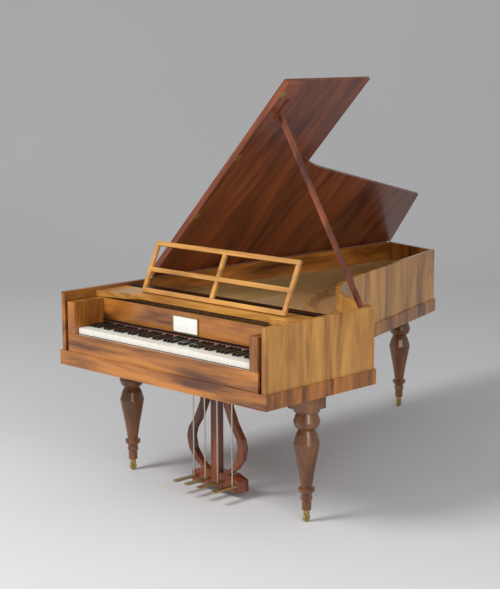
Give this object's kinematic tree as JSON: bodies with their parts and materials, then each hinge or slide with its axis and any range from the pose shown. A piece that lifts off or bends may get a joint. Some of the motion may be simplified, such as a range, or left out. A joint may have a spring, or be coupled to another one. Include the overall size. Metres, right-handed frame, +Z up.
{
  "type": "fortepiano",
  "caption": "Wing-shaped fortepiano in walnut on turned legs, with open lid, prop stick, folding music desk, pedal lyre and keyboard.",
  "frame": {"origin": "on the floor, under the middle of the bounding box", "axes": "+X to the treble side (cheek), +Y from the keyboard to the tail, +Z up"},
  "size_m": [1.2786, 2.2954, 1.7924],
  "materials": {
    "walnut": "polished",
    "pale_walnut": "polished",
    "mahogany": "satin",
    "spruce": "satin",
    "bone": "polished",
    "ebony": "polished",
    "brass": "aged",
    "white_plate": "satin",
    "steel": "satin"
  },
  "bodies": {
    "case": {"balance_rail": "spruce", "belly_rail": "spruce", "bentside": "pale_walnut", "block_front_left": "walnut", "block_front_right": "walnut", "block_tail": "walnut", "bottom_board": "mahogany", "bridge": "pale_walnut", "cheek": "pale_walnut", "damper_rail": "ebony", "desk_board": "pale_walnut", "front_plinth": "walnut", "key_bed": "mahogany", "keys_bass": "bone", "keys_treble": "bone", "left_arm": "walnut", "leg_front_left": "walnut", "leg_front_right": "walnut", "leg_tail": "walnut", "lower_front_board": "walnut", "lyre_arm_left": "mahogany", "lyre_arm_right": "mahogany", "lyre_base": "mahogany", "lyre_column": "mahogany", "name_plaque": "white_plate", "nameboard": "walnut", "prop_bracket": "brass", "right_arm": "walnut", "rod_1": "steel", "rod_2": "steel", "rod_3": "steel", "rod_4": "steel", "sharps": "ebony", "side_plinth": "walnut", "soundboard": "spruce", "spine": "walnut", "spine_hinge_front": "brass", "spine_hinge_tail": "brass", "tail_wall": "walnut", "wrest_plank": "pale_walnut"},
    "lid": {"main_lid": "mahogany"},
    "flap": {"front_flap": "walnut"},
    "prop": {"prop_stick": "mahogany"},
    "desk": {"music_desk": "pale_walnut"},
    "key_body_21": {"key_21": "bone"},
    "key_body_22": {"key_22": "bone"},
    "key_body_23": {"key_23": "bone"},
    "pedal_body_1": {"pedal_1": "brass"},
    "pedal_body_2": {"pedal_2": "brass"},
    "pedal_body_3": {"pedal_3": "brass"},
    "pedal_body_4": {"pedal_4": "brass"},
    "swivel_front_right": {"caster_front_right": "brass"},
    "roller_front_right": {"wheel_front_right": "brass"},
    "swivel_front_left": {"caster_front_left": "brass"},
    "roller_front_left": {"wheel_front_left": "brass"},
    "swivel_tail": {"caster_tail": "brass"},
    "roller_tail": {"wheel_tail": "brass"}
  },
  "joints": [
    {"name": "lid_hinge", "type": "hinge", "parent": "case", "child": "lid", "pos_m": [-0.61867, 0.26031, 0.8653], "axis": [0, -1, 0], "range_deg": [0, 35]},
    {"name": "flap_hinge", "type": "hinge", "parent": "lid", "child": "flap", "pos_m": [-0.21409, -0.60669, 1.30861], "axis": [0.6915, 0, 0.7224], "range_deg": [0, 180]},
    {"name": "prop_pivot", "type": "hinge", "parent": "case", "child": "prop", "pos_m": [0.59433, -0.52769, 0.852], "axis": [0, 1, 0], "range_deg": [0, 30]},
    {"name": "desk_hinge", "type": "hinge", "parent": "case", "child": "desk", "pos_m": [0.00633, -0.84969, 0.8503], "axis": [-1, 0, 0], "range_deg": [0, 65]},
    {"name": "key_pivot_21", "type": "hinge", "parent": "case", "child": "key_body_21", "pos_m": [-0.03907, -0.85969, 0.685], "axis": [1, 0, 0], "range_deg": [0, 1.9], "stiffness_Nm_per_rad": 20},
    {"name": "key_pivot_22", "type": "hinge", "parent": "case", "child": "key_body_22", "pos_m": [-0.01637, -0.85969, 0.685], "axis": [1, 0, 0], "range_deg": [0, 1.9], "stiffness_Nm_per_rad": 20},
    {"name": "key_pivot_23", "type": "hinge", "parent": "case", "child": "key_body_23", "pos_m": [0.00633, -0.85969, 0.685], "axis": [1, 0, 0], "range_deg": [0, 1.9], "stiffness_Nm_per_rad": 20},
    {"name": "pedal_pivot_1", "type": "hinge", "parent": "case", "child": "pedal_body_1", "pos_m": [-0.10167, -0.81129, 0.065], "axis": [1, 0, 0], "range_deg": [0, 6], "stiffness_Nm_per_rad": 20},
    {"name": "pedal_pivot_2", "type": "hinge", "parent": "case", "child": "pedal_body_2", "pos_m": [-0.03067, -0.81129, 0.065], "axis": [1, 0, 0], "range_deg": [0, 6], "stiffness_Nm_per_rad": 20},
    {"name": "pedal_pivot_3", "type": "hinge", "parent": "case", "child": "pedal_body_3", "pos_m": [0.04633, -0.81129, 0.065], "axis": [1, 0, 0], "range_deg": [0, 6], "stiffness_Nm_per_rad": 20},
    {"name": "pedal_pivot_4", "type": "hinge", "parent": "case", "child": "pedal_body_4", "pos_m": [0.13633, -0.81129, 0.065], "axis": [1, 0, 0], "range_deg": [0, 6], "stiffness_Nm_per_rad": 20},
    {"name": "swivel_joint_front_right", "type": "hinge", "parent": "case", "child": "swivel_front_right", "pos_m": [0.54733, -0.81269, 0.045], "axis": [0, 0, 1], "continuous": true},
    {"name": "roll_joint_front_right", "type": "hinge", "parent": "swivel_front_right", "child": "roller_front_right", "pos_m": [0.54733, -0.81269, 0.016], "axis": [1, 0, 0], "continuous": true},
    {"name": "swivel_joint_front_left", "type": "hinge", "parent": "case", "child": "swivel_front_left", "pos_m": [-0.53467, -0.81269, 0.045], "axis": [0, 0, 1], "continuous": true},
    {"name": "roll_joint_front_left", "type": "hinge", "parent": "swivel_front_left", "child": "roller_front_left", "pos_m": [-0.53467, -0.81269, 0.016], "axis": [1, 0, 0], "continuous": true},
    {"name": "swivel_joint_tail", "type": "hinge", "parent": "case", "child": "swivel_tail", "pos_m": [-0.41367, 0.98031, 0.045], "axis": [0, 0, 1], "continuous": true},
    {"name": "roll_joint_tail", "type": "hinge", "parent": "swivel_tail", "child": "roller_tail", "pos_m": [-0.41367, 0.98031, 0.016], "axis": [1, 0, 0], "continuous": true}
  ]
}
